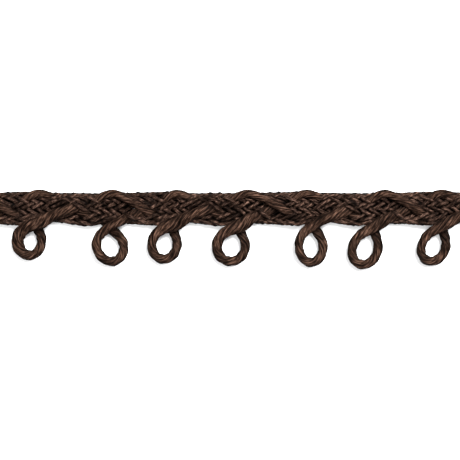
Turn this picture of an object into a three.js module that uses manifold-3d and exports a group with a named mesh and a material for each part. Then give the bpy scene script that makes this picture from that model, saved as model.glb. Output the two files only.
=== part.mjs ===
import * as THREE from "three";
import { mergeVertices } from "three/addons/utils/BufferGeometryUtils.js";
import Module from "manifold-3d";

// Picot braid trim, a straight cut length lying face up. Millimetres: X runs along the trim, +Y is
// towards its straight edge, the picots lie towards -Y, and Z rises from the flat back at 0.
const LENGTH = 96;
const GAP = 0.3;
// The ground's channels are this much wider than a cord on every side, and their flats nearer than that.
const CHANNEL = GAP + 0.07;

// The flat plaited ground: where its two edges run, how thick it is in the middle and at the edges.
const GROUND = { straightEdge: 2.85, picotEdge: -3.05, middle: 1.5, edge: 1.05 };
// Its plait shows as lengthwise rows of slanted ribs, each row slanting against the next. There are this
// many ribs along the trim, fewer and broader than the real ones, and a rib leans by this share of the pitch.
const PLAIT = { rows: 4, ribs: 34, slant: 2 / 3, height: 0.25, atEdge: 0.4, scallop: 0.1 };
const PITCH = LENGTH / PLAIT.ribs;
// Points of the ground's surface to a rib's pitch and to a row.
const POINTS = { perRib: 3, perRow: 2 };
// The face swells by this much over a picot cord that runs behind it, down to just past the picot edge. The
// swelling is level out to the first distance from the cord's middle line and gone at the second.
const SWELL = { height: 0.72, flat: 0.9, reach: 2.1, pastEdge: 1 };

// A picot cord: soft and twisted, round in a picot, pressed flat where it is plaited into the ground.
const CORD = {
  round: 1.86,
  depth: 1.72,
  flatWidth: 2.0,
  flatDepth: 1.2,
  plies: 4,
  layLength: 12,
  lobe: 0.05,
};
// Along Y, the cord is flat up to the first of these places and round from the second.
const ROUNDS_OUT = { from: -4.9, to: -6.8 };
// How high its underside is where it lies on the face, above another cord. Behind the ground it is at 0.
const FACE_LEVEL = CORD.flatDepth * (1 + CORD.lobe) + GAP;
// Where along Y its middle line turns over the straight edge.
const TURN_AT = 2.5;
// The length of cord from one ring of its surface to the next.
const STEP = 1.15;
// The ground's surface is held to within this much.
const FINENESS = 0.02;

// Picots from left to right: the middle of the hole, its length and width, and its lean to the right in
// degrees. The first and last rows lie past the cut ends and only aim the cords that leave there.
const PICOTS = [
  { x: -53.6, y: -7.8, long: 4.6, wide: 3.2, lean: 8 },
  { x: -40.3, y: -6.9, long: 4.1, wide: 2.5, lean: 7 },
  { x: -24.3, y: -7.95, long: 4.6, wide: 3.35, lean: -24 },
  { x: -13.45, y: -7.5, long: 4.4, wide: 3.15, lean: 10 },
  { x: -0.05, y: -7.85, long: 4.55, wide: 3.7, lean: 9 },
  { x: 15.85, y: -7.9, long: 5.0, wide: 3.0, lean: -5 },
  { x: 26.75, y: -8.3, long: 5.05, wide: 3.2, lean: 18 },
  { x: 40.45, y: -7.8, long: 4.8, wide: 2.95, lean: 22 },
  { x: 56.4, y: -7.8, long: 4.6, wide: 3.2, lean: 0 },
];
// Where the cords turn over the straight edge: a picot's cord comes from the turn in its own place in this
// list and leaves for the turn two places on.
const TURNS = [-66, -52.2, -38.8, -24.0, -11.2, 3.0, 14.7, 30.4, 41.6, 55.6, 69];

// Clock angles round a picot, in degrees from its top: the cord comes in, lifts to the face, and leaves.
const CLOCK = { in: 34, out: 338, step: 19, liftFrom: 225, liftTo: 298 };
// A leg is the straight stretch of cord between a turn and a picot. It has this many parts, changes sides
// between these shares of its length from where it crosses another leg, and rises at a turn over this share.
const LEG = { parts: 10, near: 0.13, far: 0.28, atTurn: 0.14 };

// Rises from 0 to 1 as the value goes from one bound to the other, level at both.
function smooth(from, to, value) {
  const t = THREE.MathUtils.clamp((value - from) / (to - from), 0, 1);
  return t * t * (3 - 2 * t);
}

const onLine = (a, b, share) => new THREE.Vector3().lerpVectors(a, b, share);

// A point on the middle line of a picot at a clock angle.
function onPicot(picot, degrees) {
  const angle = THREE.MathUtils.degToRad(degrees);
  const lean = THREE.MathUtils.degToRad(picot.lean);
  const across = (picot.wide + CORD.round) / 2 * Math.sin(angle);
  const up = (picot.long + CORD.round) / 2 * Math.cos(angle);
  return new THREE.Vector3(
    picot.x + across * Math.cos(lean) + up * Math.sin(lean),
    picot.y - across * Math.sin(lean) + up * Math.cos(lean),
    0,
  );
}

const turn = (i) => new THREE.Vector3(TURNS[i], TURN_AT, 0);
// The falling leg runs from a turn down to its picot, the rising leg from the picot up to a later turn.
const fallingLeg = (i) => [turn(i), onPicot(PICOTS[i], CLOCK.in)];
const risingLeg = (i) => [onPicot(PICOTS[i], CLOCK.out), turn(i + 2)];

// The share of line p at which it crosses line q, seen from above.
function crossingShare([p0, p1], [q0, q1]) {
  const p = p1.clone().sub(p0);
  const q = q1.clone().sub(q0);
  const between = q0.clone().sub(p0);
  return (between.x * q.y - between.y * q.x) / (p.x * q.y - p.y * q.x);
}

// Points of one leg, each with the height of the cord's underside as z.
function legPoints(leg, heightAt) {
  const shares = Array.from({ length: LEG.parts - 1 }, (_, n) => (n + 1) / LEG.parts);
  return shares.map((share) => onLine(...leg, share).setZ(heightAt(share)));
}

// The whole way of one picot cord: over a turn, down behind the ground, round a picot and up the face.
function wayOfCord(first) {
  const points = [];
  for (let i = first; i < PICOTS.length; i += 2) {
    if (i > 0) {
      const falling = fallingLeg(i);
      const crossed = crossingShare(falling, risingLeg(i - 1));
      points.push(turn(i).setZ(FACE_LEVEL / 2));
      points.push(...legPoints(falling, (share) => FACE_LEVEL
        * (0.5 + 0.5 * smooth(0, LEG.atTurn, share))
        * (1 - smooth(crossed + LEG.near, crossed + LEG.far, share))));
    }
    for (let angle = CLOCK.in + CLOCK.step; angle < CLOCK.out; angle += CLOCK.step) {
      points.push(onPicot(PICOTS[i], angle).setZ(FACE_LEVEL * smooth(CLOCK.liftFrom, CLOCK.liftTo, angle)));
    }
    if (i < PICOTS.length - 1) {
      const rising = risingLeg(i);
      const crossed = crossingShare(rising, fallingLeg(i + 1));
      points.push(rising[0].clone().setZ(FACE_LEVEL));
      points.push(...legPoints(rising, (share) => FACE_LEVEL
        * (1 - smooth(crossed - LEG.far, crossed - LEG.near, share))
        + FACE_LEVEL / 2 * smooth(1 - LEG.atTurn, 1, share)));
    }
  }
  return points;
}

// The way, cut off square at the two ends of the trim.
function cutToLength(points) {
  const end = LENGTH / 2;
  const kept = points.filter((p) => Math.abs(p.x) < end - STEP / 2);
  const from = points.indexOf(kept[0]);
  const to = points.indexOf(kept[kept.length - 1]);
  const endPoint = (inner, outer) => onLine(inner, outer, (end - Math.abs(inner.x))
    / Math.abs(outer.x - inner.x));
  return [endPoint(points[from], points[from - 1]), ...points.slice(from, to + 1),
    endPoint(points[to], points[to + 1])];
}

const ways = [1, 0].map((first) => new THREE.CatmullRomCurve3(cutToLength(wayOfCord(first)), false));

// A cord as a long cylinder whose rings are carried along the way. Each ring is an oval of lobes, one for
// each ply, which turn as the way goes on, and its lowest point lies at the way's height. grow makes the
// same cord fatter all round, without lobes or twist, for the channel that the ground leaves for it.
function cordGeometry(way, grow = 0) {
  const steps = Math.round(way.getLength() / STEP);
  const sides = CORD.plies * 2;
  const geometry = new THREE.CylinderGeometry(1, 1, 1, sides, steps);
  geometry.deleteAttribute("normal");
  geometry.deleteAttribute("uv");
  const spots = geometry.getAttribute("position");
  const stations = way.getSpacedPoints(steps);
  const up = new THREE.Vector3(0, 0, 1);

  const rings = stations.map((centre, i) => {
    const ahead = stations[Math.min(i + 1, steps)].clone().sub(stations[Math.max(i - 1, 0)]);
    if (i === 0 || i === steps) {
      ahead.set(1, 0, 0);
    }
    ahead.normalize();
    const side = ahead.clone().cross(up).normalize();
    const above = side.clone().cross(ahead);
    const round = smooth(ROUNDS_OUT.from, ROUNDS_OUT.to, centre.y);
    const halfWidth = THREE.MathUtils.lerp(CORD.flatWidth, CORD.round, round) / 2;
    const halfDepth = THREE.MathUtils.lerp(CORD.flatDepth, CORD.depth, round) / 2;
    const turned = grow > 0 ? 0 : 2 * Math.PI * i * STEP / CORD.layLength;
    const ring = [];
    for (let k = 0; k < sides; k += 1) {
      const angle = turned + 2 * Math.PI * k / sides;
      const lobe = grow > 0 || k % 2 === 0 ? 1 + CORD.lobe : 1 - CORD.lobe;
      ring.push(side.clone().multiplyScalar((halfWidth * lobe + grow) * Math.sin(angle))
        .addScaledVector(above, (halfDepth * lobe + grow) * Math.cos(angle)));
    }
    const lowest = Math.min(...ring.map((p) => p.z));
    const middle = centre.clone().setZ(Math.max(centre.z, 0) - lowest - grow);
    return { middle, points: ring.map((p) => p.add(middle)) };
  });

  for (let n = 0; n < spots.count; n += 1) {
    const x = spots.getX(n);
    const z = spots.getZ(n);
    const station = rings[Math.round((spots.getY(n) + 0.5) * steps)];
    const k = Math.round(Math.atan2(x, z) / (2 * Math.PI) * sides + sides) % sides;
    const spot = Math.hypot(x, z) < 0.5 ? station.middle : station.points[k];
    spots.setXYZ(n, spot.x, spot.y, spot.z);
  }
  return geometry;
}

// Points along the cords where they run behind the ground.
const hidden = ways.flatMap((way) => way.getSpacedPoints(Math.round(2 * way.getLength() / STEP))
  .filter((p) => p.z < FACE_LEVEL / 2 && p.y > GROUND.picotEdge - SWELL.pastEdge));

// The height of the ground's face: crowned across, plaited in slanted rows, swollen over hidden cords.
// across goes from 0 at the picot edge to 1 at the straight edge.
function faceHeight(x, across) {
  const y = THREE.MathUtils.lerp(GROUND.picotEdge, GROUND.straightEdge, across);
  const crown = Math.sqrt(Math.max(0, 1 - (2 * across - 1) ** 4));
  const row = Math.min(Math.floor(across * PLAIT.rows), PLAIT.rows - 1);
  const inRow = across * PLAIT.rows - row - 0.5;
  const slant = row % 2 === 0 ? PLAIT.slant : -PLAIT.slant;
  const rib = Math.cos(2 * Math.PI * (x / PITCH + slant * inRow));
  const nearest = Math.min(...hidden.map((p) => Math.hypot(p.x - x, p.y - y)));
  const swell = 1 - smooth(SWELL.flat, SWELL.reach, nearest);
  return THREE.MathUtils.lerp(GROUND.edge, GROUND.middle, crown)
    + PLAIT.height * rib * THREE.MathUtils.lerp(PLAIT.atEdge, 1, crown)
    + SWELL.height * swell;
}

// The ground as a thin box: its face carries the plait, its edges are scalloped by the turning strands.
function groundGeometry() {
  const width = GROUND.straightEdge - GROUND.picotEdge;
  const along = PLAIT.ribs * POINTS.perRib;
  const across = PLAIT.rows * POINTS.perRow;
  const geometry = new THREE.BoxGeometry(LENGTH, width, 2, along, across, 1);
  geometry.deleteAttribute("normal");
  geometry.deleteAttribute("uv");
  const spots = geometry.getAttribute("position");
  for (let n = 0; n < spots.count; n += 1) {
    const x = spots.getX(n);
    const share = spots.getY(n) / width + 0.5;
    const scallop = PLAIT.scallop * Math.cos(2 * Math.PI * x / PITCH) * (2 * share - 1) ** 5;
    const y = THREE.MathUtils.lerp(GROUND.picotEdge, GROUND.straightEdge, share) + scallop;
    spots.setXYZ(n, x, y, spots.getZ(n) > 0 ? faceHeight(x, share) : 0);
  }
  return geometry;
}

const wasm = await Module();
wasm.setup();
// Points nearer than this are one point.
const SAME_POINT = 1e-4;

function solidOf(geometry) {
  const merged = mergeVertices(geometry, SAME_POINT);
  return new wasm.Manifold(new wasm.Mesh({
    numProp: 3,
    vertProperties: merged.getAttribute("position").array,
    triVerts: new Uint32Array(merged.index.array),
  }));
}

function geometryOf(solid) {
  const { vertProperties, triVerts } = solid.getMesh();
  const geometry = new THREE.BufferGeometry();
  geometry.setAttribute("position", new THREE.BufferAttribute(vertProperties, 3));
  geometry.setIndex(new THREE.BufferAttribute(triVerts, 1));
  return geometry;
}

// The ground with a clear channel along each cord, freed of crumbs and of needless points.
function channelledGround() {
  const channels = ways.map((way) => solidOf(cordGeometry(way, CHANNEL)));
  const cut = channels.reduce((whole, channel) => whole.subtract(channel), solidOf(groundGeometry()));
  const [largest] = cut.simplify(FINENESS).decompose().sort((a, b) => b.volume() - a.volume());
  return largest;
}

const dye = (color, roughness) => new THREE.MeshStandardMaterial({ color, roughness, metalness: 0 });

const trim = new THREE.Group();
trim.name = "picot_braid_trim";
const pieces = new THREE.Group();
trim.add(pieces);

const ground = new THREE.Mesh(geometryOf(channelledGround()), dye(0x3b2b24, 0.62));
ground.name = "ground_braid";
pieces.add(ground);

["picot_cord_a", "picot_cord_b"].forEach((name, i) => {
  const cord = new THREE.Mesh(cordGeometry(ways[i]), dye(0x48372e, 0.55));
  cord.name = name;
  pieces.add(cord);
});

// The ground's middle line is near y = 0 above. The part's origin is under the middle of its whole outline.
const outline = new THREE.Box3().setFromObject(pieces);
pieces.position.y = -(outline.min.y + outline.max.y) / 2;

export default trim;
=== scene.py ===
import math

import bpy
import numpy as np
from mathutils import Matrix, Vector


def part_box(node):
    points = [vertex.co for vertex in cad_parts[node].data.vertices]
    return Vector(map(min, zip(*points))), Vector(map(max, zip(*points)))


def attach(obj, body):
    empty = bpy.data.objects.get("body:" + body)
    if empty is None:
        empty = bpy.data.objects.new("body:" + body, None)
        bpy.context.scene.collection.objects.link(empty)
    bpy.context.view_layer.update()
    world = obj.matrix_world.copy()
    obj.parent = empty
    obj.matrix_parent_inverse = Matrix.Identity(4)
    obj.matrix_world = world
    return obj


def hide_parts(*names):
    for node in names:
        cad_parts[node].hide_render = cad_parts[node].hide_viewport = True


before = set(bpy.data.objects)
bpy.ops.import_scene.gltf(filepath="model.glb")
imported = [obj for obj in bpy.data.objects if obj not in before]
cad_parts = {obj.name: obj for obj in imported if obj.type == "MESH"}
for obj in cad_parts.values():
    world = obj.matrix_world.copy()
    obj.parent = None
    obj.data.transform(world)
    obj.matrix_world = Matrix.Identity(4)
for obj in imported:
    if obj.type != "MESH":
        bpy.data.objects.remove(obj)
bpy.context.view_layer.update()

# A straight cut length of flat braid, lying face up with its straight edge towards +Y. Sizes below are
# millimetres and places are measured from the middle line of the plaited ground; the finished meshes are
# in metres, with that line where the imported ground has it.
LENGTH = 96.0
STRAIGHT_EDGE = 2.95
ZERO_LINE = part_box("ground_braid")[1][1] - STRAIGHT_EDGE * 0.001


# The picots. Two soft thick cords take turns to leave the ground, go once round and run back in over
# their own way out. Each picot is an upright oval, a little leaning, with a hole about one and a half
# times as wide as the cord.
PICOT_ROUND = 1.86
PICOT_DEPTH = 1.72
SHOULDER = 0.3

# Each row: the middle of the hole, its length and width, its lean to the right in degrees, how much
# thicker the cord is on its left side, and how much broader it runs back into the ground.
PICOTS = np.array([
    [-53.6, -7.80, 4.60, 3.20, 8.0, 0.0, 0.2],
    [-40.3, -6.90, 4.10, 2.50, 7.0, 0.65, 0.7],
    [-24.3, -7.95, 4.60, 3.35, -24.0, 0.0, -0.3],
    [-13.45, -7.50, 4.40, 3.15, 10.0, 0.0, 0.7],
    [-0.05, -7.85, 4.55, 3.70, 9.0, 0.22, 0.8],
    [15.85, -7.90, 5.00, 3.00, -5.0, -0.15, -0.2],
    [26.75, -8.30, 5.05, 3.20, 18.0, 0.0, 0.3],
    [40.45, -7.80, 4.80, 2.95, 22.0, -0.15, 0.25],
    [56.4, -7.80, 4.60, 3.20, 0.0, 0.0, 0.2],
])

# Places round a picot are in clock degrees, from its top to the right and round. The cord comes to it
# from the ground at the first of these, and turns back into the ground at the second.
CLOCK_IN = 34.0
CLOCK_OUT = 338.0


def on_picot(clock):
    """Points of every picot's middle line at these clock degrees: an oval half a cord outside the hole,
    with a shoulder on its right and room for a thicker left side, turned by its lean."""
    x, y, length, width, lean, thicker = PICOTS[:, :6].T[:, :, None]
    angle = np.radians(clock)
    lean = np.radians(lean)
    across = (width + PICOT_ROUND) / 2 * np.sin(angle) + SHOULDER * np.maximum(np.sin(angle), 0)
    across -= thicker / 2 * np.maximum(-np.sin(angle), 0)
    up = (length + PICOT_ROUND) / 2 * np.cos(angle)
    return np.stack([x + across * np.cos(lean) + up * np.sin(lean),
                     y - across * np.sin(lean) + up * np.cos(lean)], axis=-1)


comes_in = on_picot(np.array([CLOCK_IN]))[:, 0]
goes_out = on_picot(np.array([CLOCK_OUT]))[:, 0]


# The ground's plan: thirteen strands plaited flat, each aslant from the straight edge to the picot edge
# and back. Turns over the straight edge are numbered along the trim, and number n turns there again as
# n + 13. Every sixth and seventh by turns is a picot cord, which needs more room than the others.
STRANDS = 13
CROSSINGS = STRANDS - 1
CORD_NUMBERS = np.cumsum([-20] + [7, 6] * 8)
CORD_TURNS = np.array([-66, -52.2, -38.8, -24.0, -11.2, 3.0, 14.7, 30.4, 41.6, 55.6, 69])
MEAN_TURN = 13.5
EARLIER_TURNS = 2
BEFORE_PICOT = 1.2
CORD_ROOM = 0.25

listed = np.arange(len(CORD_NUMBERS)) - EARLIER_TURNS
cord_tops = np.interp(listed, np.arange(len(CORD_TURNS)), CORD_TURNS)
cord_tops += MEAN_TURN * (np.minimum(listed, 0) + np.maximum(listed + 1 - len(CORD_TURNS), 0))
picot_lows = comes_in[:, 0] - BEFORE_PICOT
cord_lows = cord_tops + np.mean(picot_lows - CORD_TURNS[:len(PICOTS)])
cord_lows[EARLIER_TURNS:EARLIER_TURNS + len(PICOTS)] = picot_lows


def spread(cord_places, numbers):
    """Where each numbered turn lies along an edge: evenly between two cords, once each cord has had its
    extra room on both sides."""
    between = np.diff(CORD_NUMBERS)
    unit = np.diff(cord_places) / (between + 2 * CORD_ROOM)
    known = np.concatenate([CORD_NUMBERS, CORD_NUMBERS[:-1] + 1, CORD_NUMBERS[1:] - 1])
    places = np.concatenate([cord_places, cord_places[:-1] + (1 + CORD_ROOM) * unit,
                             cord_places[1:] - (1 + CORD_ROOM) * unit])
    order = np.argsort(known, kind="stable")
    return np.interp(numbers, known[order], places[order])


# How far out each strand turns, by its place after cord a; cord b is the sixth after it. The ground is
# widest just before a cord leaves it, and draws in just after.
LEGS = 92
TURNS_HIGH = {0: 2.98, 1: 2.5, 5: 2.8, 6: 2.98, 7: 2.5, 12: 2.45}
TURNS_LOW = {0: -2.66, 1: -2.65, 2: -2.75, 4: -3.4, 5: -3.5, 6: -2.66, 7: -2.9, 12: -3.4}
numbers = CORD_NUMBERS[0] + np.arange(LEGS)
after_a = numbers % STRANDS
top_edge = np.interp(after_a, list(TURNS_HIGH), list(TURNS_HIGH.values()))
low_edge = np.interp(after_a, list(TURNS_LOW), list(TURNS_LOW.values()))
high = np.stack([spread(cord_tops, numbers), top_edge], axis=1)
low = np.stack([spread(cord_lows, numbers), low_edge], axis=1)
high_again = np.stack([spread(cord_tops, numbers + STRANDS), top_edge], axis=1)


def crossing_shares(a0, a1, b0, b1):
    """The shares of lines a and b at which they cross, seen from above."""
    a, b, d = a1 - a0, b1 - b0, b0 - a0
    turned = a[..., 0] * b[..., 1] - a[..., 1] * b[..., 0]
    return ((d[..., 0] * b[..., 1] - d[..., 1] * b[..., 0]) / turned,
            (d[..., 0] * a[..., 1] - d[..., 1] * a[..., 0]) / turned)


# Knots of a strand from one turn over the straight edge to the next, called its leg: the turn, twelve
# crossings on the way down, the turn at the picot edge, and twelve crossings on the way up.
KNOTS = 2 * STRANDS
falls = np.repeat(np.arange(LEGS), CROSSINGS)
fall_knot = np.tile(np.arange(1, CROSSINGS + 1), LEGS)
rises = falls - STRANDS + fall_knot
rise_knot = KNOTS - fall_knot
met = rises >= 0
falls, fall_knot, rises, rise_knot = falls[met], fall_knot[met], rises[met], rise_knot[met]
fall_share, rise_share = crossing_shares(high[falls], low[falls], low[rises], high_again[rises])

shares = np.tile(np.arange(KNOTS) % STRANDS / STRANDS, (LEGS, 1))
shares[falls, fall_knot] = fall_share
shares[rises, rise_knot] = rise_share
going_down = np.arange(KNOTS) < STRANDS
plan = np.where(
    going_down[None, :, None],
    high[:, None] + shares[..., None] * (low - high)[:, None],
    low[:, None] + shares[..., None] * (high_again - low)[:, None],
)

# A strand runs flatter near the edges, where it turns, and so steeper half way, a thin one more than a
# cord.
STEEPER = 0.5
CORD_STEEPER = 0.35
is_cord = np.isin(numbers, CORD_NUMBERS)
bend = -np.where(is_cord, CORD_STEEPER, STEEPER)[:, None] / (2 * np.pi) * np.sin(2 * np.pi * shares)
plan[..., 1] += bend * np.where(going_down, -1, 1) * (top_edge - low_edge)[:, None]

# A picot cord rises along a line of its own, from the picot, bowed a little up and then down.
RISING_BOW = 0.3
picot_legs = np.flatnonzero(is_cord)[EARLIER_TURNS:EARLIER_TURNS + len(PICOTS)]
rise_from = low.copy()
rise_from[picot_legs] = goes_out
straight = (np.arange(1, STRANDS) / STRANDS)[None, :, None]
plan[picot_legs, STRANDS + 1:] = (rise_from[picot_legs, None]
                                  + straight * (high_again - rise_from)[picot_legs, None])
plan[picot_legs, STRANDS + 1:, 1] += RISING_BOW * np.sin(2 * np.pi * straight[..., 0])
shares[picot_legs, STRANDS + 1:] = straight[..., 0]


# How the strands pass over one another: over two and under two, each strand a step on from the last.
# Falling cord a lies on the face for its first eight crossings and is held under at its last four.
# Falling cord b shows at its first two and again at its eighth and ninth.
STRAND_DEPTH = 0.68
CORD_DEPTH = 1.2
depth = np.where(is_cord, CORD_DEPTH, STRAND_DEPTH)

step = STRANDS - fall_knot
is_a = is_cord & (after_a == 0)
falling_cord_shows = np.where(is_a[falls], step > 4, (step > 10) | (step == 4) | (step == 5))
fall_on_top = np.where(is_cord[falls], falling_cord_shows, np.isin(step % 4, (1, 2)))

# The thin strand that rises next after cord b stays under the one that covers the cord, or it would
# stand up beside the cord.
NEXT_AFTER_B = 7
fall_on_top |= (after_a[rises] == NEXT_AFTER_B) & (step == 4)
thin_rises = ~is_cord[rises]
fall_place = falls * KNOTS + fall_knot
rise_place = rises * KNOTS + rise_knot

upper = [np.where(fall_on_top, fall_place, rise_place)[thin_rises].astype(float)]
under = [np.where(fall_on_top, rise_place, fall_place)[thin_rises].astype(float)]
apart = [((depth[falls] + depth[rises]) / 2)[thin_rises]]

# The crossings of a rising picot cord. Falling strands are counted from its own turn: the seventh to the
# tenth pass over it, and the fifth too over cord b. It lies over the thin strands that rise beside it.
COVER_A = (7, 8, 9, 10)
COVER_B = (5, 7, 8, 9, 10)
BESIDE = 5
JUST_SHORT = 0.001
for leg in picot_legs:
    others = leg + np.arange(1, CROSSINGS + 1)
    others = others[others < LEGS]
    mine, theirs = crossing_shares(rise_from[leg], high_again[leg], high[others], low[others])
    real = (theirs > 0) & (theirs < 1) & (mine > 0)
    others, mine, theirs = others[real], mine[real], theirs[real]
    over_me = np.isin(others - leg, COVER_A if is_a[leg] else COVER_B)
    my_place = leg * KNOTS + np.clip(STRANDS + mine * STRANDS, STRANDS + 1, KNOTS - 1 - JUST_SHORT)
    their_place = others * KNOTS + np.array([
        np.interp(s, np.append(shares[o, :STRANDS], 1.0), np.arange(STRANDS + 1))
        for o, s in zip(others, theirs)])
    upper.append(np.where(over_me, their_place, my_place))
    under.append(np.where(over_me, my_place, their_place))
    apart.append((depth[others] + depth[leg]) / 2)

    others = leg + np.arange(1, BESIDE + 1)
    mine, theirs = crossing_shares(rise_from[leg], high_again[leg], low[others], high_again[others])
    real = (theirs > 0) & (theirs < 1) & (mine > 0) & (mine < 1)
    others, mine, theirs = others[real], mine[real], theirs[real]
    my_place = leg * KNOTS + np.clip(STRANDS + mine * STRANDS, STRANDS + 1, KNOTS - 1 - JUST_SHORT)
    their_place = others * KNOTS + STRANDS + np.array([
        np.interp(s, np.append(np.append(0, shares[o, STRANDS + 1:]), 1.0), np.arange(STRANDS + 1))
        for o, s in zip(others, theirs)]) - JUST_SHORT
    upper.append(my_place)
    under.append(their_place)
    apart.append((depth[others] + depth[leg]) / 2)

# The picot's neck, where the cord lies over its own way out, half a knot before its turn.
NECK_ROOM = 0.15
upper.append(picot_legs * KNOTS + STRANDS + 1.0)
under.append(picot_legs * KNOTS + STRANDS - 0.5)
apart.append(np.full(len(picot_legs), CORD_DEPTH + NECK_ROOM))
upper, under, apart = (np.concatenate(part) for part in (upper, under, apart))


# The strands settle as they do on the braider, drawn tight and pressed on each other. At the end all
# are pressed under one height, so that none stands up out of the face.
FIRST_HEIGHT = 0.9
STRAND_PULL = 0.3
CORD_PULL = 0.5
SAG = 0.004
PUSH = 0.45
PUSHES = 2
PULLED_ROUNDS = 260
RESTING_ROUNDS = 25
PRESSED_TO = 3.12


def settle():
    """Heights of all knots. In each round a knot is pulled towards the mean of the two next to it along
    its strand and sags a little. Then strands that cross are pushed apart to the sum of their half
    depths, and nothing goes below the table. The last rounds only push."""
    last_knot = LEGS * KNOTS - 1
    leg = np.repeat(np.arange(LEGS), KNOTS)
    knot = np.tile(np.arange(KNOTS), LEGS)
    me = leg * KNOTS + knot
    before = np.where(knot == 0, (leg - STRANDS) * KNOTS + KNOTS - 1, me - 1)
    after = np.where(knot == KNOTS - 1, (leg + STRANDS) * KNOTS, me + 1)
    before = np.where(before < 0, me, before)
    after = np.where(after > last_knot, me, after)
    in_cord = is_cord[leg]
    after = np.where(in_cord & (knot == STRANDS), me, after)
    before = np.where(in_cord & (knot == STRANDS + 1), me, before)
    lowest = np.repeat(depth, KNOTS) / 2
    pull = np.where(in_cord, CORD_PULL, STRAND_PULL)
    z = np.full(LEGS * KNOTS, FIRST_HEIGHT)
    u0, v0 = np.floor(upper).astype(int), np.floor(under).astype(int)
    uf, vf = upper - u0, under - v0
    u1, v1 = np.minimum(u0 + 1, last_knot), np.minimum(v0 + 1, last_knot)
    for n in range(PULLED_ROUNDS + RESTING_ROUNDS):
        if n < PULLED_ROUNDS:
            z = z + pull * ((z[before] + z[after]) / 2 - z)
            z = z - SAG
        for _ in range(PUSHES):
            upper_z = z[u0] * (1 - uf) + z[u1] * uf
            under_z = z[v0] * (1 - vf) + z[v1] * vf
            short = np.maximum(apart - upper_z + under_z, 0)
            move = np.zeros_like(z)
            np.add.at(move, u0, PUSH * short * (1 - uf))
            np.add.at(move, u1, PUSH * short * uf)
            np.add.at(move, v0, -PUSH * short * (1 - vf))
            np.add.at(move, v1, -PUSH * short * vf)
            z = np.maximum(z + move, lowest)
    return z.reshape(LEGS, KNOTS)


heights = np.minimum(settle(), PRESSED_TO - depth[:, None] / 2)

# Where a strand lies on top it is free to swell, and where it is held under it is squeezed. No two lie
# quite alike: each is a little out of its place, and its painted sheen is a little duller or brighter at
# random from knot to knot.
UNEVEN = 0.07
UNEVEN_AT_EDGE = 0.3
DULLEST = 0.3
BRIGHTEST = 1.7
free = np.zeros(LEGS * KNOTS)
np.add.at(free, np.round(upper).astype(int), 1.0)
np.add.at(free, np.round(under).astype(int), -1.0)
free = np.clip(free, -1, 1).reshape(LEGS, KNOTS)
free[:, [0, STRANDS]] = 1
uneven = np.random.default_rng(5)
stray = uneven.normal(0, UNEVEN, plan.shape)
stray[:, [0, STRANDS]] *= UNEVEN_AT_EDGE
plan[~is_cord] += stray[~is_cord]
painted_lustre = uneven.uniform(DULLEST, BRIGHTEST, free.shape)
knots = np.concatenate([plan, heights[..., None], free[..., None], painted_lustre[..., None]], axis=2)


def eased(start, end, value):
    """Rises from 0 to 1 as value goes from start to end, level at both."""
    t = np.clip((value - start) / (end - start), 0, 1)
    return t * t * (3 - 2 * t)


def curve_through(points, parts):
    """A smooth curve through points, in this many parts from each to the next: the cubic whose slope at
    a point is that from the point before to the point after."""
    p0, p1, p2, p3 = points[:-3], points[1:-2], points[2:-1], points[3:]
    t = (np.arange(parts) / parts)[None, :, None]
    curve = 0.5 * (2 * p1[:, None] + (p2 - p0)[:, None] * t
                   + (2 * p0 - 5 * p1 + 4 * p2 - p3)[:, None] * t ** 2
                   + (3 * p1 - p0 - 3 * p2 + p3)[:, None] * t ** 3)
    return curve.reshape(-1, points.shape[1])


def cut_to_length(way, spare):
    """The stretch of a way that lies between the trim's two ends, each moved out by its spare."""
    inside = np.flatnonzero((way[:, 0] > -LENGTH / 2 - spare[0]) & (way[:, 0] < LENGTH / 2 + spare[1]))
    return way[inside[0]:inside[-1] + 1]


# One yarn: a soft bundle of filaments twisted into lobes. Light doesn't reach far down its sides or into
# its grooves, so painted shade darkens its colour there. The cut end is a low point.
SHADED_SIDE = 0.72
SHADED_GROOVE = 4.5
GROOVE_SHAPE = 0.9
GROOVES_VARY = 0.35
END_POINT = 0.06


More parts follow.
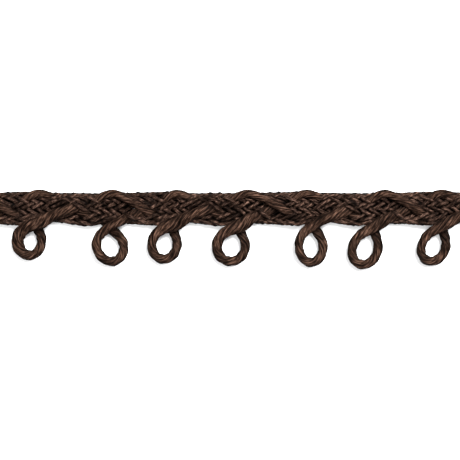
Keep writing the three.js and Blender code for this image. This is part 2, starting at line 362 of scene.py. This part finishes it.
def yarn_mesh(name, middle, half_width, half_depth, lobes, lobe_depth, lay, sides, tone_and_painted_light):
    """A closed yarn. An oval ring stands square to the middle line at each of its points. Its radius
    dips between the lobes, which turn once in each lay length, and the rings at both ends are filled in.
    Its map goes by centimetres along the yarn and by turns round it."""
    ahead = np.gradient(middle, axis=0)
    ahead[[0, -1]] = (1.0, 0.0, 0.0)
    ahead /= np.linalg.norm(ahead, axis=1, keepdims=True)
    side = np.cross(ahead, (0.0, 0.0, 1.0))
    side /= np.linalg.norm(side, axis=1, keepdims=True)
    above = np.cross(side, ahead)
    along = np.concatenate([[0.0], np.cumsum(np.linalg.norm(np.diff(middle, axis=0), axis=1))])
    angle = 2 * np.pi * np.arange(sides) / sides
    twist = angle[None] + 2 * np.pi * along[:, None] / lay
    groove = (1 - np.abs(np.sin(lobes / 2 * twist))) ** GROOVE_SHAPE
    groove *= 1 - GROOVES_VARY + GROOVES_VARY * np.sin(3 * angle[None] + 0.9 * along[:, None])
    radius = 1 - lobe_depth * groove
    ring = (middle[:, None]
            + side[:, None] * (half_width[:, None] * radius * np.sin(angle))[..., None]
            + above[:, None] * (half_depth[:, None] * radius * np.cos(angle))[..., None])
    count = len(middle)
    caps = np.stack([middle[0] - (END_POINT, 0, 0), middle[-1] + (END_POINT, 0, 0)])
    points = np.concatenate([ring.reshape(-1, 3), caps]) + (0.0, ZERO_LINE * 1000, 0.0)

    i, j = np.meshgrid(np.arange(count - 1), np.arange(sides), indexing="ij")
    k = (j + 1) % sides
    quads = np.stack([i * sides + j, i * sides + k, (i + 1) * sides + k, (i + 1) * sides + j], axis=-1)
    j = np.arange(sides)
    k = (j + 1) % sides
    last = (count - 1) * sides
    start = np.stack([np.full(sides, count * sides), k, j], axis=1)
    end = np.stack([np.full(sides, count * sides + 1), last + j, last + k], axis=1)
    mesh = bpy.data.meshes.new(name)
    mesh.from_pydata(points * 0.001, [], quads.reshape(-1, 4).tolist() + start.tolist() + end.tolist())
    mesh.shade_smooth()

    u, v = np.meshgrid(along / 10, np.arange(sides + 1) / sides, indexing="ij")
    uv = np.stack([u, v], axis=-1)
    on_quads = np.stack([uv[:-1, :-1], uv[:-1, 1:], uv[1:, 1:], uv[1:, :-1]], axis=2).reshape(-1, 2)
    on_start = np.stack([uv[0, :-1], uv[0, 1:], uv[0, :-1]], axis=1).reshape(-1, 2)
    on_end = np.stack([uv[-1, :-1], uv[-1, :-1], uv[-1, 1:]], axis=1).reshape(-1, 2)
    layer = mesh.uv_layers.new(name="yarn")
    layer.data.foreach_set("uv", np.concatenate([on_quads, on_start, on_end]).astype(np.float32).ravel())
    # Painted shade: the ring's sides and the grooves between its lobes are darkened.
    ringed = tone_and_painted_light[:, None] * (1 - SHADED_SIDE * np.sin(angle)[None] ** 2)
    ringed *= 1 - SHADED_GROOVE * lobe_depth * groove
    # The attribute holds the yarn's random tone together with its painted shade and sheen.
    shade = mesh.attributes.new("tone_and_painted_light", "FLOAT", "POINT")
    shade.data.foreach_set("value", np.append(ringed, (tone_and_painted_light[0], tone_and_painted_light[-1])).astype(np.float32))
    mesh.validate()
    piece = bpy.data.objects.new(name, mesh)
    bpy.context.collection.objects.link(piece)
    return piece


# The yarn's finish: a bundle of fine shiny filaments with a little twist, dyed dark brown. The group
# lays fine streaks round the yarn on a slow spiral, from the yarn's own map of length and turns.
def make_filaments():
    """The node group. Streak is noise on a tube: turned by the yarn's twist, finer with Fineness, and
    as short as Streaks per cm says. Patch is broad soft noise on the yarn's map."""
    group = bpy.data.node_groups.new("yarn_filaments", "ShaderNodeTree")
    face = group.interface
    face.new_socket("Turns per cm", in_out="INPUT", socket_type="NodeSocketFloat")
    face.new_socket("Fineness", in_out="INPUT", socket_type="NodeSocketFloat")
    face.new_socket("Streaks per cm", in_out="INPUT", socket_type="NodeSocketFloat")
    face.new_socket("Streak", in_out="OUTPUT", socket_type="NodeSocketFloat")
    face.new_socket("Patch", in_out="OUTPUT", socket_type="NodeSocketFloat")
    nodes, link = group.nodes, group.links.new
    given = nodes.new("NodeGroupInput")
    out = nodes.new("NodeGroupOutput")
    uv = nodes.new("ShaderNodeUVMap")
    uv.uv_map = "yarn"
    split = nodes.new("ShaderNodeSeparateXYZ")
    link(uv.outputs["UV"], split.inputs[0])

    def worked_out(kind, first, second=None):
        """One sum, from sockets or plain numbers."""
        node = nodes.new("ShaderNodeMath")
        node.operation = kind
        for socket, value in zip(node.inputs, (first, second)):
            if isinstance(value, (int, float)):
                socket.default_value = value
            elif value is not None:
                link(value, socket)
        return node.outputs[0]

    turned = worked_out("MULTIPLY", split.outputs["X"], given.outputs["Turns per cm"])
    turns = worked_out("ADD", turned, split.outputs["Y"])
    angle = worked_out("MULTIPLY", turns, 2 * math.pi)
    east = worked_out("MULTIPLY", worked_out("SINE", angle), given.outputs["Fineness"])
    north = worked_out("MULTIPLY", worked_out("COSINE", angle), given.outputs["Fineness"])
    spot = nodes.new("ShaderNodeCombineXYZ")
    link(east, spot.inputs[0])
    link(north, spot.inputs[1])
    link(worked_out("MULTIPLY", split.outputs["X"], given.outputs["Streaks per cm"]), spot.inputs[2])
    fine = nodes.new("ShaderNodeTexNoise")
    fine.inputs["Scale"].default_value = 2.2
    fine.inputs["Detail"].default_value = 3.0
    fine.inputs["Roughness"].default_value = 0.65
    link(spot.outputs[0], fine.inputs["Vector"])
    link(fine.outputs["Fac"], out.inputs["Streak"])
    patch = nodes.new("ShaderNodeTexNoise")
    patch.inputs["Scale"].default_value = 3.0
    patch.inputs["Detail"].default_value = 2.0
    link(uv.outputs["UV"], patch.inputs["Vector"])
    link(patch.outputs["Fac"], out.inputs["Patch"])
    return group


filaments = make_filaments()


def yarn_material(name, dark, usual, light, turns_per_cm, fineness, streaks_per_cm, bump):
    """Dyed filament yarn: colour goes from dark to light with the streaks and is multiplied by the
    yarn's tone and painted shade and sheen; the streaks also raise a fine bump, and broad patches vary
    the shine."""
    material = bpy.data.materials.new(name)
    material.use_nodes = True
    nodes, link = material.node_tree.nodes, material.node_tree.links.new
    shader = nodes["Principled BSDF"]
    streaks = nodes.new("ShaderNodeGroup")
    streaks.node_tree = filaments
    streaks.inputs["Turns per cm"].default_value = turns_per_cm
    streaks.inputs["Fineness"].default_value = fineness
    streaks.inputs["Streaks per cm"].default_value = streaks_per_cm
    colours = nodes.new("ShaderNodeValToRGB")
    colours.color_ramp.elements[0].position = 0.38
    colours.color_ramp.elements[0].color = (*dark, 1)
    colours.color_ramp.elements[1].position = 0.63
    colours.color_ramp.elements[1].color = (*light, 1)
    colours.color_ramp.elements.new(0.5).color = (*usual, 1)
    link(streaks.outputs["Streak"], colours.inputs["Fac"])
    # Reads the yarn's tone with its painted shade and sheen.
    tone_and_painted_light = nodes.new("ShaderNodeAttribute")
    tone_and_painted_light.attribute_name = "tone_and_painted_light"
    toned = nodes.new("ShaderNodeMix")
    toned.data_type = "RGBA"
    toned.blend_type = "MULTIPLY"
    toned.inputs["Factor"].default_value = 1.0
    link(colours.outputs["Color"], toned.inputs["A"])
    link(tone_and_painted_light.outputs["Fac"], toned.inputs["B"])
    link(toned.outputs["Result"], shader.inputs["Base Color"])
    rough = nodes.new("ShaderNodeMapRange")
    rough.inputs["To Min"].default_value = 0.62
    rough.inputs["To Max"].default_value = 0.42
    link(streaks.outputs["Patch"], rough.inputs["Value"])
    link(rough.outputs["Result"], shader.inputs["Roughness"])
    relief = nodes.new("ShaderNodeBump")
    relief.inputs["Strength"].default_value = bump
    relief.inputs["Distance"].default_value = 0.0001
    link(streaks.outputs["Streak"], relief.inputs["Height"])
    link(relief.outputs["Normal"], shader.inputs["Normal"])
    shader.inputs["Specular IOR Level"].default_value = 0.012
    return material


# The eleven thin strands of the ground, of soft filament yarn in two plies, cut off where the trim is
# cut. On top a strand draws in and swells up. Held under it spreads out flat, less at the edges than
# inside them, so that the plait closes, and painted shade darkens it there.
STRAND_WIDTH = 0.88
THICK_AND_THIN = 0.04
DRAWN_IN = 0.15
SWELL = 0.14
SPREAD_AT_EDGE = 0.5
SPREAD_INSIDE = 0.45
EDGE_TO_INSIDE = (2.7, 1.7)
FREE_TO_HELD = (0.5, -0.8)
STRAND_TONES = (0.88, 1.12)
TONE_VARIES = 0.06
# Painted shade: how dark a strand is painted where it is held under, against 1 on top.
PAINTED_GAP_SHADE = 0.06
GAP_TO_FACE = (-0.4, 1.0)
ANY_PHASE = (0, 6.28)
STRAND_PARTS = 5
CUT_UNEVEN = 0.3
rng = np.random.default_rng(17)
ground_finish = yarn_material(
    "ground_yarn", dark=(0.0040, 0.0020, 0.0014), usual=(0.0182, 0.0095, 0.0063),
    light=(0.106, 0.061, 0.045), turns_per_cm=0.9, fineness=1.1, streaks_per_cm=6.5, bump=0.9)

ground_pieces = []
for first in range(STRANDS):
    rows = np.arange(first, LEGS, STRANDS)
    if is_cord[rows].any():
        continue
    way = curve_through(knots[rows].reshape(-1, 5), STRAND_PARTS)
    way = cut_to_length(way, rng.uniform(0.0, CUT_UNEVEN, 2))
    # Whether the strand lies on top, and its painted sheen from the knots.
    on_top, shine = way[:, 3], way[:, 4]
    size = 1 + THICK_AND_THIN * np.sin(0.9 * way[:, 0] + rng.uniform(*ANY_PHASE))
    half_width = STRAND_WIDTH / 2 * size
    spread_out = SPREAD_AT_EDGE + SPREAD_INSIDE * eased(*EDGE_TO_INSIDE, np.abs(way[:, 1]))
    half_width *= 1 - DRAWN_IN * np.clip(on_top, 0, 1) + spread_out * eased(*FREE_TO_HELD, on_top)
    half_depth = STRAND_DEPTH / 2 * size * (1 + SWELL * on_top)
    way[:, 2] = np.maximum(way[:, 2], half_depth)
    tone_and_painted_light = rng.uniform(*STRAND_TONES)
    tone_and_painted_light = tone_and_painted_light * (1 + TONE_VARIES * np.sin(0.35 * way[:, 0] + rng.uniform(*ANY_PHASE)))
    # Painted sheen from the knots, and painted shade where the strand is held under.
    tone_and_painted_light = tone_and_painted_light * shine * (PAINTED_GAP_SHADE + (1 - PAINTED_GAP_SHADE) * eased(*GAP_TO_FACE, on_top))
    piece = yarn_mesh(f"ground_strand_{len(ground_pieces) + 1:02d}", way[:, :3], half_width, half_depth,
                      lobes=2, lobe_depth=0.17, lay=2.2, sides=16, tone_and_painted_light=tone_and_painted_light)
    piece.data.materials.append(ground_finish)
    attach(piece, "root")
    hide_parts("ground_braid")
    ground_pieces.append(piece)


# The two picot cords, each soft and of eight plies: round where it stands out as a picot, and pressed
# flat where it is plaited in. Round a picot it lies on the table until it climbs over its own neck.
# Painted shade darkens it where strands cover it, and at the lower left of each picot.
FALLING_WIDTH = 1.7
FALLING_SPREAD = 0.3
FALLING_SPREADS = (0.4, 0.9)
RISING_WIDTH = 2.15
RISING_NARROWS = (0.7, 0.9)
BULGE = 1.06
FLAT_TO_ROUND = (-4.4, -6.4)
PLIES = 8
LAY = 14.0
ROUND_POINTS = 25
COMES_DOWN = (CLOCK_IN - 20, CLOCK_IN + 60)
CLIMBS = (225.0, 298.0)
IN_SHADE = 0.3
COVERED_TO_BARE = (-0.6, 0.6)
COMES_INTO_LIGHT = (CLOCK_IN, CLOCK_IN + 70)
# Painted shade at the lower left of each picot, the side turned away from the light.
LOWER_LEFT = 0.5
LOWER_LEFT_STARTS = (170, 205)
LOWER_LEFT_ENDS = (260, 222)
CORD_STEP = 0.8
CORD_PARTS = 6
CORD_SPARE = (0.1, 0.1)
SOFTENINGS = 3

# Some cords spread just past the neck, on the side of the picots: the shares, at the first knots of the
# way up, of what the picot's row says.
BROADER_KNOTS = (0.4, 1.3, 1.0, 0.0)
BROADER_DOWN = 0.6

cord_finish = yarn_material(
    "picot_yarn", dark=(0.0027, 0.0012, 0.0008), usual=(0.0178, 0.0088, 0.0055),
    light=(0.106, 0.058, 0.040), turns_per_cm=0.71, fineness=3.0, streaks_per_cm=3.2, bump=1.2)

clock = np.linspace(CLOCK_IN, CLOCK_OUT, ROUND_POINTS)
out_height = heights[picot_legs, STRANDS][:, None]
in_height = heights[picot_legs, STRANDS + 1][:, None]
fall = eased(*COMES_DOWN, clock)[None]
lift = eased(*CLIMBS, clock)[None]
round_height = (out_height * (1 - fall) + PICOT_DEPTH / 2 * fall) * (1 - lift) + in_height * lift
picot_rounds = np.concatenate([on_picot(clock), round_height[..., None]], axis=2)

# Widths and painted shade on the way down, round the picot and on the way up, which are alike for every
# picot.
way_down = np.arange(STRANDS + 1) / STRANDS
falling_width = FALLING_WIDTH + FALLING_SPREAD * eased(*FALLING_SPREADS, way_down)[:, None]
rising_width = RISING_WIDTH + (FALLING_WIDTH - RISING_WIDTH) * eased(*RISING_NARROWS, straight[0])
round_width = np.full((len(clock), 1), RISING_WIDTH)
# Painted shade where the cord comes out from under its neck, and at the picot's lower left.
round_painted_light = IN_SHADE + (1 - IN_SHADE) * eased(*COMES_INTO_LIGHT, clock)[:, None]
lower_left_shade = eased(*LOWER_LEFT_STARTS, clock) * eased(*LOWER_LEFT_ENDS, clock)
round_painted_light *= 1 - LOWER_LEFT * lower_left_shade[:, None]
left_side = np.maximum(-np.sin(np.radians(clock)), 0)[:, None]
under_neck = np.interp(np.arange(CROSSINGS), np.arange(len(BROADER_KNOTS)), BROADER_KNOTS)[:, None]

for name, offset in (("picot_cord_a", 1), ("picot_cord_b", 0)):
    stretches = []
    for row, round_points, (thicker, broader) in zip(
            picot_legs[offset::2], picot_rounds[offset::2], PICOTS[offset::2, 5:]):
        # Painted shade where strands cover the cord, and where it goes under its own neck.
        light = IN_SHADE + (1 - IN_SHADE) * eased(*COVERED_TO_BARE, knots[row, :, 3:4])
        light[STRANDS] = IN_SHADE
        broad = broader * under_neck
        down_points = knots[row, :STRANDS + 1, :3]
        up_points = knots[row, STRANDS + 1:, :3] - BROADER_DOWN * broad * (0.0, 1.0, 0.0)
        stretches += [
            np.concatenate([down_points, falling_width, light[:STRANDS + 1], 0 * falling_width], axis=1),
            np.concatenate([round_points, round_width, round_painted_light, thicker * left_side], axis=1),
            np.concatenate([up_points, rising_width, light[STRANDS + 1:], broad], axis=1),
        ]

    # The stretches become one way of even steps, softened where they join.
    points = np.concatenate(stretches)
    run = np.concatenate([[0.0], np.cumsum(np.linalg.norm(np.diff(points[:, :2], axis=0), axis=1))])
    even = np.arange(0.0, run[-1], CORD_STEP)
    points = np.stack([np.interp(even, run, column) for column in points.T], axis=1)
    for _ in range(SOFTENINGS):
        points[1:-1] = 0.5 * points[1:-1] + 0.25 * (points[:-2] + points[2:])
    way = cut_to_length(curve_through(points, CORD_PARTS), CORD_SPARE)
    width, light, extra = way[:, 3], way[:, 4], way[:, 5]
    roundness = eased(*FLAT_TO_ROUND, way[:, 1])
    half_width = (width + (BULGE * PICOT_ROUND - width) * roundness + extra) / 2
    half_depth = (CORD_DEPTH + (PICOT_DEPTH - CORD_DEPTH) * roundness) / 2
    way[:, 2] = np.maximum(way[:, 2], half_depth)

    # Its lumps and its lighter stretches each come at two lengths, so that none repeats.
    run = np.arange(len(way)) * CORD_STEP / CORD_PARTS
    lumps = 0.045 * np.sin(2.3 * run + 3 * offset) + 0.03 * np.sin(3.9 * run + offset)
    half_width *= 1 + roundness * lumps
    tone_and_painted_light = 1.06 + 0.18 * np.sin(2.1 * run + offset) + 0.16 * np.sin(0.83 * run + 2 * offset)
    piece = yarn_mesh(name + "_yarn", way[:, :3], half_width, half_depth,
                      lobes=PLIES, lobe_depth=0.24, lay=LAY, sides=48, tone_and_painted_light=tone_and_painted_light * light)
    piece.data.materials.append(cord_finish)
    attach(piece, "root")
    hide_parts(name)


# The table: a plain near-white sheet just under the trim, and soft light from a pale surround and two
# lamps. These aren't part of the object.
TABLE = 1.2
TABLE_TOP = -5e-5
table = bpy.data.meshes.new("table")
corners = [(-TABLE, -TABLE), (TABLE, -TABLE), (TABLE, TABLE), (-TABLE, TABLE)]
table.from_pydata([(x, y, TABLE_TOP) for x, y in corners], [], [(0, 1, 2, 3)])
table_object = bpy.data.objects.new("table", table)
bpy.context.collection.objects.link(table_object)
paper = bpy.data.materials.new("table_white")
paper.use_nodes = True
paper_shader = paper.node_tree.nodes["Principled BSDF"]
paper_shader.inputs["Base Color"].default_value = (0.97, 0.97, 0.97, 1)
paper_shader.inputs["Roughness"].default_value = 0.9
paper_shader.inputs["Specular IOR Level"].default_value = 0.1
table.materials.append(paper)

world = bpy.data.worlds.new("surround")
bpy.context.scene.world = world
world.use_nodes = True
world.node_tree.nodes["Background"].inputs["Color"].default_value = (1, 1, 1, 1)
world.node_tree.nodes["Background"].inputs["Strength"].default_value = 0.62


def lamp(name, place, width, power):
    """A square soft lamp, aimed at the trim's middle."""
    light = bpy.data.lights.new(name, "AREA")
    light.size = width
    light.energy = power
    body = bpy.data.objects.new(name, light)
    bpy.context.collection.objects.link(body)
    body.location = place
    body.rotation_euler = (-Vector(place)).to_track_quat("-Z", "Y").to_euler()


lamp("key", (0.35, 0.45, 0.62), width=0.45, power=25)
lamp("fill", (-0.5, -0.3, 0.8), width=0.6, power=6)

# The camera looks straight down on the face of the trim. The photograph spans 92 mm there, and its
# middle is a little to the left of the trim's and between the ground and the picots.
PHOTO_SPAN = 0.092
PHOTO_MIDDLE = (-0.0002, ZERO_LINE - 0.0046)
FACE = 0.0015
LENS = 100.0
SENSOR = 36.0
camera = bpy.data.cameras.new("camera")
camera.lens = LENS
camera.sensor_width = SENSOR
camera.clip_start = 0.01
camera_object = bpy.data.objects.new("camera", camera)
bpy.context.collection.objects.link(camera_object)
camera_object.location = (*PHOTO_MIDDLE, FACE + PHOTO_SPAN * LENS / SENSOR)
bpy.context.scene.camera = camera_object
bpy.context.scene.view_settings.view_transform = "Standard"
